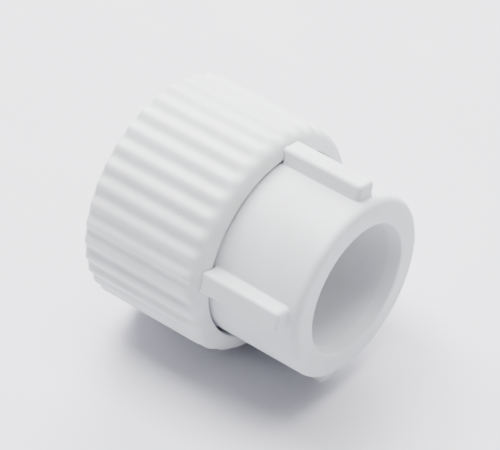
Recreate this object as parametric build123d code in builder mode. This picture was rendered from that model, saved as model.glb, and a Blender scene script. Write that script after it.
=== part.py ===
from build123d import *
import math
import os

# Swivel half of a plastic pipe union: welding socket, captive ribbed nut and flat face seal.
# The fitting lies on its side. The X axis is the pipe axis, +X looks out of the pipe socket,
# +Z is up, and the origin is the centre of the pipe stop at the bottom of the socket.
# All sizes are in millimetres.

os.makedirs("parts", exist_ok=True)

# Cutting shapes reach this far past the faces that they cut through
overrun = 1.0

# Two places closer than this are one
same_place = 0.001

# Socket for 25 mm pipe, measured along X from the pipe stop
socket_depth = 16.0
socket_bore_r = 12.1
mouth_r = 12.65
lead_in_length = 2.5
tail_r = 17.5
exposed_tail = 18.4
mouth_outer_round = 1.5
mouth_inner_round = 0.4
waterway_r = 9.0

# Union nut
nut_r = 22.0
nut_length = 25.7
nut_front_round = 3.4
nut_rear_round = 0.8
rib_count = 36
flute_r = 1.7
flute_depth = 0.6
rib_crest_round = 1.45
recess_clearance = 0.6
recess_depth = 4.0
recess_lip_round = 0.4
web_thickness = 4.0
nut_front = socket_depth - exposed_tail
nut_back = nut_front - nut_length
recess_r = tail_r + recess_clearance
web_front = nut_front - recess_depth
web_back = web_front - web_thickness

# Grip lugs along the socket, which also stop the nut
lug_count = 4
lug_roll = 14.0
lug_width = 4.8
lug_end_width = 4.5
lug_top_r = 20.4
lug_root_r = tail_r - 1.0
lug_end = 14.1
lug_draft = 3.0
lug_corner_round = 1.1
lug_edge_round = 0.7
lug_gap = 0.1
lug_base_round = 0.3

# Brass tailpiece: knurled root moulded into the socket body, neck, flange and gasket spigot
root_cover = 1.2
root_r = 13.6
collar_r = 14.8
collar_length = 1.8
groove_r = 12.4
groove_width = 1.6
groove_land = 0.6
o_ring_corner = 0.35 * groove_width
neck_r = 12.8
flange_r = 14.8
flange_thickness = 2.8
spigot_r = 10.3
spigot_length = 1.2
brass_chamfer = 0.3
knurl_size = 0.9
shoulder_gap = 0.2
root_end = -root_cover
collar_end = root_end - collar_length
groove_front = collar_end - groove_land
groove_back = groove_front - groove_width
body_end = web_front + shoulder_gap

# Slip ring between the neck, the nut's web and the flange
running_clearance = 0.08
end_float = 1.2
float_gap = 0.05
slip_flange_thickness = 1.2
slip_split = 1.2
sleeve_wall = 0.8
sleeve_setback = 0.3
sleeve_inner_r = neck_r + running_clearance
sleeve_outer_r = sleeve_inner_r + sleeve_wall
web_hole_r = sleeve_outer_r + running_clearance
sleeve_front = web_front - sleeve_setback
slip_back = web_back - slip_flange_thickness
flange_front = slip_back - end_float - float_gap
flange_back = flange_front - flange_thickness

# Flat face gasket
gasket_r = 15.0
gasket_hole_r = 10.5
gasket_thickness = 2.2
gasket_round = 0.25
gasket_back = flange_back - gasket_thickness

# Brass thread ring moulded into the nut: G 1 parallel pipe thread with 55 degree flanks
inch = 25.4
threads_per_inch = 11
thread_pitch = inch / threads_per_inch
thread_major_r = 33.249 / 2
thread_minor_r = 15.45
thread_root_width = thread_pitch / 6
flank_slope = math.tan(math.radians(55 / 2))
cutter_overlap = 0.6
cutter_depth = thread_major_r - thread_minor_r + cutter_overlap
cutter_overrun = 1.5 * thread_pitch
thread_setback = 0.8
thread_front = gasket_back - thread_setback
relief_r = 16.9
ring_setback = 3.0
ring_recess = 0.15
ring_front = web_back - ring_setback
ring_back = nut_back + ring_recess
ring_r = 18.3
ring_band_r = 18.8
ring_groove_r = 17.8
ring_land = 0.8
ring_band_length = 3.4
ring_groove_width = 2.4
front_band_start = ring_front - ring_land
front_band_end = front_band_start - ring_band_length
rear_band_start = front_band_end - ring_groove_width
rear_band_end = rear_band_start - ring_band_length
thread_chamfer = 1.3
ring_knurls = 40
collar_knurls = 30


def cut_knurls(radius, count, start, length):
    """Cut V grooves along X into the part being built."""
    with BuildSketch(Plane.YZ.offset(start)) as grooves:
        with PolarLocations(radius, count):
            Rectangle(knurl_size, knurl_size, rotation=45)
    extrude(grooves.sketch, amount=length, mode=Mode.SUBTRACT)


def on_socket_wall(edge):
    """Is this an edge of a lug where it meets the socket's outer wall?"""
    points = [edge @ position for position in (0, 0.5, 1)]
    on_wall = all(abs(math.hypot(point.Y, point.Z) - tail_r) < same_place for point in points)
    return on_wall and nut_front < (edge @ 0.5).X < lug_end


# Tailpiece
with BuildPart() as tailpiece:
    with BuildSketch(Plane.XZ):
        Polygon(
            (root_end, waterway_r),
            (root_end, collar_r),
            (collar_end, collar_r),
            (collar_end, root_r),
            (groove_front, root_r),
            (groove_front, groove_r),
            (groove_back, groove_r),
            (groove_back, root_r),
            (body_end, root_r),
            (body_end, neck_r),
            (flange_front, neck_r),
            (flange_front, flange_r - brass_chamfer),
            (flange_front - brass_chamfer, flange_r),
            (flange_back + brass_chamfer, flange_r),
            (flange_back, flange_r - brass_chamfer),
            (flange_back, spigot_r),
            (flange_back - spigot_length, spigot_r),
            (flange_back - spigot_length, waterway_r + brass_chamfer),
            (flange_back - spigot_length + brass_chamfer, waterway_r),
            align=None,
        )
    revolve(axis=Axis.X)
    cut_knurls(collar_r, collar_knurls, collar_end, collar_length)

# Seal ring squeezed between the tailpiece's root and the socket body
with BuildPart() as tail_o_ring:
    with BuildSketch(Plane.XZ):
        with Locations(((groove_front + groove_back) / 2, groove_r + groove_width / 2)):
            RectangleRounded(groove_width, groove_width, o_ring_corner)
    revolve(axis=Axis.X)

# One grip lug, at the top before it is turned into place
with BuildPart() as lug:
    with BuildSketch(Plane.XY.offset(lug_root_r)):
        Polygon(
            (nut_front - overrun, -lug_width / 2),
            (lug_end, -lug_end_width / 2),
            (lug_end, lug_end_width / 2),
            (nut_front - overrun, lug_width / 2),
            align=None,
        )
        fillet(vertices().group_by(Axis.X)[-1], lug_corner_round)
    extrude(amount=lug_top_r - lug_root_r, taper=lug_draft)
    fillet(faces().sort_by(Axis.Z)[-1].edges(), lug_edge_round)
    with BuildSketch(Plane.XZ) as nut_room:
        with BuildLine():
            Polyline(
                (nut_front - nut_front_round, nut_r + lug_gap),
                (nut_back, nut_r + lug_gap),
                (nut_back, 0),
                (nut_front + lug_gap, 0),
                (nut_front + lug_gap, nut_r - nut_front_round),
            )
            CenterArc(
                (nut_front - nut_front_round, nut_r - nut_front_round),
                nut_front_round + lug_gap,
                0,
                90,
            )
        make_face()
    revolve(axis=Axis.X, mode=Mode.SUBTRACT)

# Socket body, moulded around the tailpiece's root and its seal ring
with BuildPart() as socket_body:
    with BuildSketch(Plane.XZ):
        Polygon(
            (body_end, waterway_r),
            (body_end, tail_r),
            (socket_depth, tail_r),
            (socket_depth, mouth_r),
            (socket_depth - lead_in_length, socket_bore_r),
            (0, socket_bore_r),
            (0, waterway_r),
            align=None,
        )
    revolve(axis=Axis.X)
    mouth_edges = edges().filter_by(GeomType.CIRCLE).group_by(Axis.X)[-1].sort_by(SortBy.RADIUS)
    fillet(mouth_edges[-1], mouth_outer_round)
    mouth_edges = edges().filter_by(GeomType.CIRCLE).group_by(Axis.X)[-1].sort_by(SortBy.RADIUS)
    fillet(mouth_edges[0], mouth_inner_round)
    for number in range(lug_count):
        add(lug.part, rotation=(number * 360 / lug_count - lug_roll, 0, 0))
    fillet(edges().filter_by(on_socket_wall), lug_base_round)
    with BuildSketch(Plane.XZ):
        Polygon(
            (groove_front, waterway_r),
            (groove_front, root_r),
            (groove_back, root_r),
            (groove_back, waterway_r),
            align=None,
        )
    revolve(axis=Axis.X, mode=Mode.SUBTRACT)
    add(tailpiece.part, mode=Mode.SUBTRACT)
    add(tail_o_ring.part, mode=Mode.SUBTRACT)

# Split slip ring: a sleeve in the nut's web and a flange behind it
with BuildPart() as slip_ring:
    with BuildSketch(Plane.XZ):
        Polygon(
            (sleeve_front, sleeve_inner_r),
            (sleeve_front, sleeve_outer_r),
            (web_back - float_gap, sleeve_outer_r),
            (web_back - float_gap, flange_r),
            (slip_back, flange_r),
            (slip_back, sleeve_inner_r),
            align=None,
        )
    revolve(axis=Axis.X)
    with BuildSketch(Plane.XY):
        with Locations(((sleeve_front + slip_back) / 2, 0)):
            Rectangle(2 * web_thickness, slip_split)
    extrude(amount=nut_r, mode=Mode.SUBTRACT)

# Face gasket on the flange's spigot
with BuildPart() as face_gasket:
    with BuildSketch(Plane.XZ):
        with Locations(((flange_back + gasket_back) / 2, (gasket_r + gasket_hole_r) / 2)):
            RectangleRounded(gasket_thickness, gasket_r - gasket_hole_r, gasket_round)
    revolve(axis=Axis.X)

# Helical groove of the pipe thread, from behind the nut into the relief bore
with BuildPart() as thread_cutter:
    with BuildLine():
        turns = Helix(
            pitch=thread_pitch,
            height=thread_front - ring_back + cutter_overrun,
            radius=thread_minor_r - cutter_overlap,
            center=(ring_back - thread_pitch, 0, 0),
            direction=(1, 0, 0),
        )
    with BuildSketch(Plane(origin=turns @ 0, x_dir=(1, 0, 0), z_dir=turns % 0)):
        Polygon(
            (-thread_root_width / 2, cutter_depth),
            (thread_root_width / 2, cutter_depth),
            (thread_root_width / 2 + cutter_depth * flank_slope, 0),
            (-thread_root_width / 2 - cutter_depth * flank_slope, 0),
            align=None,
        )
    sweep(path=turns, is_frenet=True)

# Thread ring: knurled bands outside, relief bore in front, pipe thread behind
with BuildPart() as thread_ring:
    with BuildSketch(Plane.XZ):
        Polygon(
            (ring_front, relief_r),
            (ring_front, ring_r),
            (front_band_start, ring_r),
            (front_band_start, ring_band_r),
            (front_band_end, ring_band_r),
            (front_band_end, ring_groove_r),
            (rear_band_start, ring_groove_r),
            (rear_band_start, ring_band_r),
            (rear_band_end, ring_band_r),
            (rear_band_end, ring_r),
            (ring_back, ring_r),
            (ring_back, thread_minor_r + thread_chamfer),
            (ring_back + thread_chamfer, thread_minor_r),
            (thread_front, thread_minor_r),
            (thread_front, relief_r),
            align=None,
        )
    revolve(axis=Axis.X)
    cut_knurls(ring_band_r, ring_knurls, ring_back, ring_front - ring_back)
    add(thread_cutter.part, mode=Mode.SUBTRACT)

# The nut's ribs: a wave of shallow flutes and round crests, with a flute straight up
with BuildPart() as rib_form:
    with BuildSketch(Plane.YZ.offset(nut_back - overrun)):
        Circle(nut_r)
        with PolarLocations(nut_r - flute_depth + flute_r, rib_count):
            Circle(flute_r, mode=Mode.SUBTRACT)
        fillet(vertices(), rib_crest_round)
    extrude(amount=nut_length + 2 * overrun)

# Union nut, moulded around the thread ring
with BuildPart() as union_nut:
    with BuildSketch(Plane.XZ):
        Polygon(
            (nut_front, recess_r),
            (nut_front, nut_r),
            (nut_back, nut_r),
            (nut_back, ring_r),
            (ring_back, ring_r),
            (ring_back, relief_r),
            (ring_front, relief_r),
            (ring_front, ring_r),
            (web_back, ring_r),
            (web_back, web_hole_r),
            (web_front, web_hole_r),
            (web_front, recess_r),
            align=None,
        )
        fillet(vertices().group_by(Axis.X)[-1].sort_by(Axis.Y)[0], recess_lip_round)
        fillet(vertices().group_by(Axis.X)[-1].sort_by(Axis.Y)[-1], nut_front_round)
        fillet(vertices().group_by(Axis.X)[0].sort_by(Axis.Y)[-1], nut_rear_round)
    revolve(axis=Axis.X)
    add(rib_form.part, mode=Mode.INTERSECT)
    add(thread_ring.part, mode=Mode.SUBTRACT)

for name, piece in (
    ("socket_body", socket_body),
    ("tailpiece", tailpiece),
    ("tail_o_ring", tail_o_ring),
    ("slip_ring", slip_ring),
    ("union_nut", union_nut),
    ("thread_ring", thread_ring),
    ("face_gasket", face_gasket),
):
    piece.part.label = name
    export_step(piece.part, f"parts/{name}.step")
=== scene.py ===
import math

import bpy
from mathutils import Matrix, Vector


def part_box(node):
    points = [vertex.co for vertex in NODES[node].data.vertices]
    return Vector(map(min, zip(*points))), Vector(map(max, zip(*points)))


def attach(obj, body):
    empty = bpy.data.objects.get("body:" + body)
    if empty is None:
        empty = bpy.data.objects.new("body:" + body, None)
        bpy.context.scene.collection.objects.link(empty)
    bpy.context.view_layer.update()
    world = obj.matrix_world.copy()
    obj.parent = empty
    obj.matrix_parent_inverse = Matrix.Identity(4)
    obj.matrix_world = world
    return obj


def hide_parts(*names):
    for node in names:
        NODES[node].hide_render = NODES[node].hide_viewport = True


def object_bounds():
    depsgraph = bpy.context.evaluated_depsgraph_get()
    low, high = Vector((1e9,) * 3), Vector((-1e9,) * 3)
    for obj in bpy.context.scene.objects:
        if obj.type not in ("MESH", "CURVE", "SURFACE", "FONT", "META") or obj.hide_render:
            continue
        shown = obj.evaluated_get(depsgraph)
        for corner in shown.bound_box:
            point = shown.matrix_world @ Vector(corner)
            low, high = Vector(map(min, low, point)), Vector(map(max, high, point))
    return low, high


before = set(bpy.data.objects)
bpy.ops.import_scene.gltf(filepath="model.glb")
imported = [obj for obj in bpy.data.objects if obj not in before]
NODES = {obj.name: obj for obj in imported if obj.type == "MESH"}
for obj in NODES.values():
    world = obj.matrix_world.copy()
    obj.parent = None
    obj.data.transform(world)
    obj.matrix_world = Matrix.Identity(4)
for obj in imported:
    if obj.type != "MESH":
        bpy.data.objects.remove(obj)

CAD_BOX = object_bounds()
MM = 0.001

# The camera stands where the photograph was taken from: a long lens, well back
VIEW_AZIMUTH = math.radians(39.1)
VIEW_ELEVATION = math.radians(42.2)
CAMERA_DISTANCE = 528.6 * MM
CAMERA_LENS = 216.0
AIM_LEFT = 4.4 * MM
AIM_UP = 3.4 * MM

# The nut, in millimetres: its ends come from the frame, the rest repeats the CAD nut's section
NUT_LOW, NUT_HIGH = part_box("union_nut")
RING_LOW, RING_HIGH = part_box("thread_ring")
NUT_FRONT_X = NUT_HIGH[0] / MM
NUT_BACK_X = NUT_LOW[0] / MM
RIB_CREST_R = 22.0
RIB_COUNT = 36
RIB_DEPTH = 0.6
FRONT_ROUND = 3.4
REAR_ROUND = 0.8
LIP_ROUND = 0.4
RECESS_R = 18.1
RECESS_DEPTH = 4.0
WEB_THICKNESS = 4.0
WEB_HOLE_R = 13.76
RING_R = 18.3
RING_BAND_R = RING_HIGH[1] / MM
RING_LAND = 0.8

# How the visible nut's mesh is divided, and how far round its front shoulder the ribs reach
STEPS_PER_RIB = 18
REAR_STEPS = 8
STRAIGHT_STEPS = 12
FRONT_STEPS = 24
LIP_STEPS = 5
RIBS_END = math.radians(52)
SHARP_EDGE = math.radians(40)

# Soft daylight: square lamps, all at the same distance from the part's origin
SOFTBOX_AT = 0.8
SOFTBOX_SIZE = 0.5
LEFT_SOFTBOX_SIZE = 0.4
DAYLIGHT = (0.985, 0.99, 1.0)
SKY_COLOUR = (0.90, 0.93, 1.0)
SKY_STRENGTH = 0.02
FLOOR_HALF = 3.0


def view_axes(azimuth, elevation):
    """Right, up and back directions of a level camera."""
    right = Vector((math.cos(azimuth), math.sin(azimuth), 0))
    back = Vector((
        math.sin(azimuth) * math.cos(elevation),
        -math.cos(azimuth) * math.cos(elevation),
        math.sin(elevation),
    ))
    return right, back.cross(right), back


def place(obj, position, right, up, back):
    """Stand a camera or lamp at a position, looking against back."""
    turn = Matrix((right, up, back)).transposed().to_4x4()
    obj.matrix_world = Matrix.Translation(position) @ turn


def add_camera():
    """The photograph's camera, aimed a little off the front of the nut."""
    right, up, back = view_axes(VIEW_AZIMUTH, VIEW_ELEVATION)
    nut_front = Vector((NUT_HIGH[0], 0, 0))
    aim = nut_front - right * AIM_LEFT + up * AIM_UP
    data = bpy.data.cameras.new("photo_camera")
    data.lens = CAMERA_LENS
    data.clip_start = 0.01
    camera = bpy.data.objects.new("photo_camera", data)
    bpy.context.scene.collection.objects.link(camera)
    place(camera, aim + back * CAMERA_DISTANCE, right, up, back)
    bpy.context.scene.camera = camera


def add_softbox(name, azimuth, elevation, size, power):
    """A square area lamp aimed at the origin, at an azimuth and elevation in degrees."""
    data = bpy.data.lights.new(name, "AREA")
    data.shape = "SQUARE"
    data.size = size
    data.energy = power
    data.color = DAYLIGHT
    lamp = bpy.data.objects.new(name, data)
    bpy.context.scene.collection.objects.link(lamp)
    right, up, back = view_axes(math.radians(azimuth), math.radians(elevation))
    place(lamp, back * SOFTBOX_AT, right, up, back)


# Node helpers: each returns the output socket that the next node takes


def add_node(tree, kind, inputs=None, **settings):
    """A new node. inputs maps its sockets to plain values or to other nodes' outputs."""
    node = tree.nodes.new(kind)
    for name, value in settings.items():
        setattr(node, name, value)
    for socket, value in (inputs or {}).items():
        if isinstance(value, bpy.types.NodeSocket):
            tree.links.new(value, node.inputs[socket])
        else:
            node.inputs[socket].default_value = value
    return node


def millimetres(tree):
    """The point on the object, in millimetres in the part's own frame."""
    where = add_node(tree, "ShaderNodeTexCoord").outputs["Object"]
    return add_node(tree, "ShaderNodeVectorMath", {0: where, "Scale": 1 / MM}, operation="SCALE").outputs[0]


def stretch(tree, point, factors):
    """The point scaled along each axis, which draws a pattern out where a factor is small."""
    return add_node(tree, "ShaderNodeVectorMath", {0: point, 1: factors}, operation="MULTIPLY").outputs[0]


def axis_radius(tree, point):
    """Distance from the pipe axis."""
    across = stretch(tree, point, (0, 1, 1))
    return add_node(tree, "ShaderNodeVectorMath", {0: across}, operation="LENGTH").outputs["Value"]


def along_axis(tree, point):
    """Place along the pipe axis."""
    return add_node(tree, "ShaderNodeSeparateXYZ", {0: point}).outputs["X"]


def noise(tree, point, size, detail=2.0, roughness=0.5):
    """Soft noise whose lumps are about size millimetres across."""
    inputs = {"Vector": point, "Scale": 1 / size, "Detail": detail, "Roughness": roughness}
    return add_node(tree, "ShaderNodeTexNoise", inputs).outputs[0]


def step(tree, value, low, high, out_low=0.0, out_high=1.0):
    """A smooth step from out_low to out_high as the value goes from low to high."""
    inputs = {"Value": value, "From Min": low, "From Max": high, "To Min": out_low, "To Max": out_high}
    return add_node(tree, "ShaderNodeMapRange", inputs, interpolation_type="SMOOTHSTEP").outputs[0]


def math_node(tree, operation, first, second):
    """One step of arithmetic."""
    return add_node(tree, "ShaderNodeMath", {0: first, 1: second}, operation=operation).outputs[0]


def tint(tree, mask, under, over):
    """The colour over laid on the colour under where the mask is 1."""
    colours = {6: under, 7: over}
    inputs = {0: mask}
    for socket, colour in colours.items():
        inputs[socket] = colour if isinstance(colour, bpy.types.NodeSocket) else (*colour, 1)
    return add_node(tree, "ShaderNodeMix", inputs, data_type="RGBA").outputs[2]


def specks(tree, point, spacing, radius, share):
    """A mask of scattered round specks; share is how many of the cells keep theirs."""
    cells = add_node(tree, "ShaderNodeTexVoronoi", {"Vector": point, "Scale": 1 / spacing})
    dot = step(tree, cells.outputs["Distance"], 0.6 * radius / spacing, radius / spacing, 1, 0)
    lot = add_node(tree, "ShaderNodeSeparateColor", {0: cells.outputs["Color"]}).outputs[0]
    return math_node(tree, "MULTIPLY", dot, math_node(tree, "LESS_THAN", lot, share))


def bump(tree, height, depth):
    """A normal from a height of 0 to 1 that stands for depth millimetres."""
    return add_node(tree, "ShaderNodeBump", {"Height": height, "Distance": depth * MM}).outputs[0]


def new_material(name, metallic=0.0, ior=1.5):
    """A node material and its shader, with the values that are the same all over it."""
    material = bpy.data.materials.new(name)
    material.use_nodes = True
    shader = material.node_tree.nodes["Principled BSDF"]
    shader.inputs["Metallic"].default_value = metallic
    shader.inputs["IOR"].default_value = ior
    return material, material.node_tree, shader


def moulded_polypropylene(name, light, shade, layers):
    """Matte moulded polypropylene: cloudy, a fine texture from the mould, and a little see-through.

    layers lays marks on the colour, and on the nut painted shade in the flutes, and returns the new colour.
    """
    material, tree, shader = new_material(name, ior=1.49)
    shader.inputs["Subsurface Weight"].default_value = 0.2
    shader.inputs["Subsurface Radius"].default_value = (1.0, 0.95, 0.85)
    shader.inputs["Subsurface Scale"].default_value = 0.8 * MM
    point = millimetres(tree)
    cloud = step(tree, noise(tree, point, 7.0, detail=4), 0.36, 0.64)
    colour = layers(tree, point, tint(tree, cloud, light, shade))
    texture = noise(tree, point, 0.32, detail=3)
    peel = noise(tree, point, 1.9)
    flow = noise(tree, stretch(tree, point, (0.12, 1, 1)), 1.1)
    height = math_node(tree, "ADD", texture, math_node(tree, "ADD", peel, flow))
    tree.links.new(colour, shader.inputs["Base Color"])
    gloss = step(tree, noise(tree, point, 2.6, detail=3), 0.3, 0.7, 0.42, 0.56)
    tree.links.new(gloss, shader.inputs["Roughness"])
    tree.links.new(bump(tree, height, 0.016), shader.inputs["Normal"])
    return material


def nut_layers(tree, point, colour):
    """Painted shade in patches in the flutes, a few dark specks and a faint smear along the nut's front
    lip.
    """
    radius = axis_radius(tree, point)
    # A grey for the painted shade in the flutes
    flute_shade_grey = (0.66, 0.69, 0.66)
    yellow_smear = (0.66, 0.66, 0.46)
    dark_speck = (0.22, 0.21, 0.19)
    # Painted shade: the flute bottoms are greyed in patches to darken the creases
    in_flute = step(tree, radius, RIB_CREST_R - RIB_DEPTH, RIB_CREST_R - RIB_DEPTH / 3, 1, 0)
    patchy = step(tree, noise(tree, point, 3.5, detail=3), 0.3, 0.75, 0.35, 1)
    greyed_patches = math_node(tree, "MULTIPLY", in_flute, patchy)
    colour = tint(tree, math_node(tree, "MULTIPLY", greyed_patches, 0.30), colour, flute_shade_grey)
    near_lip = step(tree, along_axis(tree, point), NUT_FRONT_X - 2.4, NUT_FRONT_X - 0.2)
    patches = step(tree, noise(tree, point, 4.0, detail=4), 0.5, 0.68)
    smear = math_node(tree, "MULTIPLY", near_lip, patches)
    colour = tint(tree, math_node(tree, "MULTIPLY", smear, 0.22), colour, yellow_smear)
    dark = math_node(tree, "MULTIPLY", specks(tree, point, 3.1, 0.14, 0.75), 0.7)
    return tint(tree, dark, colour, dark_speck)


def socket_layers(tree, point, colour):
    """Faint handling scuffs drawn out along the socket, and a few specks."""
    grey_scuff = (0.62, 0.62, 0.61)
    dark_speck = (0.3, 0.29, 0.27)
    fine = noise(tree, stretch(tree, point, (0.25, 1, 1)), 0.5, detail=4, roughness=0.7)
    where = step(tree, noise(tree, point, 5.0), 0.45, 0.7)
    scuff = math_node(tree, "MULTIPLY", step(tree, fine, 0.6, 0.72), where)
    colour = tint(tree, math_node(tree, "MULTIPLY", scuff, 0.18), colour, grey_scuff)
    dark = math_node(tree, "MULTIPLY", specks(tree, point, 3.4, 0.1, 0.5), 0.6)
    return tint(tree, dark, colour, dark_speck)


def plated_brass(name):
    """Turned brass under thin nickel: fine rings from the lathe, with the brass showing in worn patches."""
    bright_nickel = (0.70, 0.68, 0.64)
    dull_nickel = (0.62, 0.60, 0.56)
    bare_brass = (0.62, 0.50, 0.29)
    ring_pitch = 0.16
    material, tree, shader = new_material(name, metallic=1.0)
    point = millimetres(tree)
    cloud = step(tree, noise(tree, point, 2.5, detail=4), 0.35, 0.65)
    colour = tint(tree, cloud, bright_nickel, dull_nickel)
    worn = step(tree, noise(tree, point, 5.5, detail=5, roughness=0.6), 0.52, 0.7)
    colour = tint(tree, math_node(tree, "MULTIPLY", worn, 0.6), colour, bare_brass)
    travel = math_node(tree, "ADD", axis_radius(tree, point), along_axis(tree, point))
    rings = math_node(tree, "SINE", math_node(tree, "MULTIPLY", travel, math.tau / ring_pitch), 0)
    uneven_rings = math_node(tree, "MULTIPLY", rings, noise(tree, point, 1.2))
    tree.links.new(colour, shader.inputs["Base Color"])
    tree.links.new(step(tree, worn, 0, 1, 0.26, 0.48), shader.inputs["Roughness"])
    tree.links.new(bump(tree, uneven_rings, 0.006), shader.inputs["Normal"])
    return material


def moulded_acetal(name):
    """Smooth ivory acetal with a faint cloud and fine wear lines round it."""
    material, tree, shader = new_material(name, ior=1.48)
    shader.inputs["Subsurface Weight"].default_value = 0.15
    shader.inputs["Subsurface Scale"].default_value = 0.6 * MM
    point = millimetres(tree)
    colour = tint(tree, noise(tree, point, 3.0, detail=3), (0.82, 0.79, 0.70), (0.76, 0.72, 0.61))
    lines = noise(tree, stretch(tree, point, (6, 0.4, 0.4)), 1.0, detail=3)
    tree.links.new(colour, shader.inputs["Base Color"])
    tree.links.new(step(tree, lines, 0.3, 0.7, 0.26, 0.4), shader.inputs["Roughness"])
    tree.links.new(bump(tree, lines, 0.006), shader.inputs["Normal"])
    return material


def sealing_rubber(name):
    """Black moulded rubber with a dull grain and a little pale dust."""
    material, tree, shader = new_material(name, ior=1.52)
    point = millimetres(tree)
    greyed_patches = step(tree, noise(tree, point, 2.2, detail=5, roughness=0.65), 0.5, 0.8, 0, 0.5)
    colour = tint(tree, greyed_patches, (0.016, 0.016, 0.018), (0.11, 0.11, 0.105))
    grain = noise(tree, point, 0.22, detail=3)
    tree.links.new(colour, shader.inputs["Base Color"])
    tree.links.new(step(tree, grain, 0.3, 0.7, 0.5, 0.75), shader.inputs["Roughness"])
    tree.links.new(bump(tree, grain, 0.012), shader.inputs["Normal"])
    return material


def pale_floor(name):
    """A plain pale surface with a slight lavender cast."""
    material, tree, shader = new_material(name)
    point = millimetres(tree)
    colour = tint(tree, noise(tree, point, 60.0), (0.80, 0.79, 0.845), (0.78, 0.775, 0.83))
    tree.links.new(colour, shader.inputs["Base Color"])
    tree.links.new(step(tree, noise(tree, point, 20.0), 0.3, 0.7, 0.55, 0.65), shader.inputs["Roughness"])
    return material


def round_over(centre, radius, first, last, steps):
    """Points on an arc of the nut's section, each with the direction out of the surface.

    Angles are measured from straight out to +X.
    """
    for index in range(steps + 1):
        angle = first + (last - first) * index / steps
        out = Vector((math.sin(angle), math.cos(angle)))
        yield Vector(centre) + radius * out, out, angle


def nut_section():
    """The nut's closed section, from its rear rim round to it again.

    Each entry is a point and how far, and which way, a full rib valley moves it in.
    """
    straight_out = Vector((0, 1))
    no_rib = Vector((0, 0))
    shoulder = (NUT_FRONT_X - FRONT_ROUND, RIB_CREST_R - FRONT_ROUND)
    rim = (NUT_BACK_X + REAR_ROUND, RIB_CREST_R - REAR_ROUND)
    section = []
    for point, out, angle in round_over(rim, REAR_ROUND, math.radians(-90), 0, REAR_STEPS):
        section.append((point, out * RIB_DEPTH * math.cos(angle)))
    for index in range(1, STRAIGHT_STEPS):
        along = rim[0] + (shoulder[0] - rim[0]) * index / STRAIGHT_STEPS
        section.append((Vector((along, RIB_CREST_R)), straight_out * RIB_DEPTH))
    for point, out, angle in round_over(shoulder, FRONT_ROUND, 0, math.radians(90), FRONT_STEPS):
        share = min(angle / RIBS_END, 1)
        fade = 1 - share * share * (3 - 2 * share)
        section.append((point, out * RIB_DEPTH * fade))
    lip = (NUT_FRONT_X - LIP_ROUND, RECESS_R + LIP_ROUND)
    for point, _, _ in round_over(lip, LIP_ROUND, math.radians(90), math.radians(180), LIP_STEPS):
        section.append((point, no_rib))
    web_front = NUT_FRONT_X - RECESS_DEPTH
    web_back = web_front - WEB_THICKNESS
    ring_front = RING_HIGH[0] / MM
    ring_back = RING_LOW[0] / MM
    for corner in (
        (web_front, RECESS_R),
        (web_front, WEB_HOLE_R),
        (web_back, WEB_HOLE_R),
        (web_back, RING_R),
        (ring_front - RING_LAND, RING_R),
        (ring_front - RING_LAND, RING_BAND_R),
        (ring_back + RING_LAND, RING_BAND_R),
        (ring_back + RING_LAND, RING_R),
        (NUT_BACK_X, RING_R),
    ):
        section.append((Vector(corner), no_rib))
    return section


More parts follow.
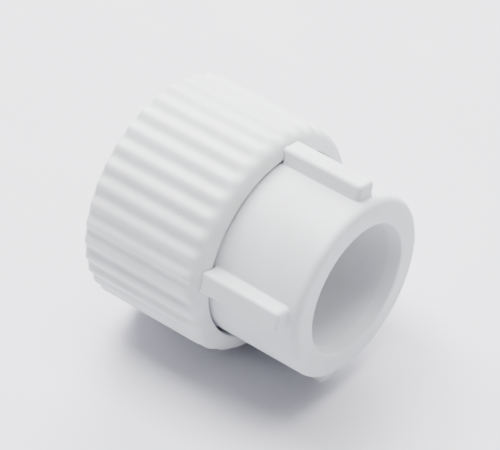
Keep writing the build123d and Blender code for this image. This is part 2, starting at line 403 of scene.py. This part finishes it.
def build_nut():
    """The nut's visible shape: its section turned round the pipe axis, with ribs in a soft wave.

    A rib's valley stands straight up, as on the CAD nut.
    """
    section = nut_section()
    around = RIB_COUNT * STEPS_PER_RIB
    points = []
    for point, rib in section:
        for index in range(around):
            angle = math.tau * index / around
            valley = (1 + math.cos(RIB_COUNT * angle)) / 2
            x, radius = point - rib * valley
            points.append((x * MM, radius * math.sin(angle) * MM, radius * math.cos(angle) * MM))
    faces = []
    for ring in range(len(section)):
        next_ring = (ring + 1) % len(section)
        for index in range(around):
            next_index = (index + 1) % around
            faces.append((
                ring * around + index,
                ring * around + next_index,
                next_ring * around + next_index,
                next_ring * around + index,
            ))
    mesh = bpy.data.meshes.new("ribbed_nut")
    mesh.from_pydata(points, [], faces)
    mesh.shade_smooth()
    mesh.set_sharp_from_angle(angle=SHARP_EDGE)
    nut = bpy.data.objects.new("ribbed_nut", mesh)
    bpy.context.scene.collection.objects.link(nut)
    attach(nut, "nut")
    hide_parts("union_nut")
    return nut


def dress(material, *names):
    """Give the CAD nodes of these names one material."""
    for name in names:
        mesh = NODES[name].data
        mesh.materials.clear()
        mesh.materials.append(material)


def add_floor():
    """A square floor at the height of the lowest ribs."""
    low = CAD_BOX[0][2]
    corners = [(x * FLOOR_HALF, y * FLOOR_HALF, low) for x, y in ((-1, -1), (1, -1), (1, 1), (-1, 1))]
    mesh = bpy.data.meshes.new("floor")
    mesh.from_pydata(corners, [], [(0, 1, 2, 3)])
    floor = bpy.data.objects.new("floor", mesh)
    bpy.context.scene.collection.objects.link(floor)
    mesh.materials.append(pale_floor("floor_surface"))


def add_sky():
    """A dim even light from all round."""
    world = bpy.data.worlds.new("sky")
    world.use_nodes = True
    sky = world.node_tree.nodes["Background"]
    sky.inputs["Color"].default_value = (*SKY_COLOUR, 1)
    sky.inputs["Strength"].default_value = SKY_STRENGTH
    bpy.context.scene.world = world


nut_white = (0.85, 0.865, 0.885)
nut_shade = (0.815, 0.825, 0.84)
socket_white = (0.8, 0.815, 0.84)
socket_shade = (0.77, 0.78, 0.8)
nut_plastic = moulded_polypropylene("nut_plastic", nut_white, nut_shade, nut_layers)
socket_plastic = moulded_polypropylene("socket_plastic", socket_white, socket_shade, socket_layers)
nut = build_nut()
nut.data.materials.append(nut_plastic)
dress(socket_plastic, "socket_body")
dress(plated_brass("nickel_on_brass"), "tailpiece", "thread_ring")
dress(moulded_acetal("acetal"), "slip_ring")
dress(sealing_rubber("rubber"), "tail_o_ring", "face_gasket")

add_floor()
add_camera()
for name, azimuth, elevation, size, power in (
    ("overhead", 180, 85, SOFTBOX_SIZE, 11.0),
    ("left_high", 260, 60, LEFT_SOFTBOX_SIZE, 11.0),
    ("back_left", 215, 30, SOFTBOX_SIZE, 13.0),
    ("back_right", 140, 48, SOFTBOX_SIZE, 2.4),
    ("front_left", 315, 30, SOFTBOX_SIZE, 0.8),
):
    add_softbox(name, azimuth, elevation, size, power)
add_sky()
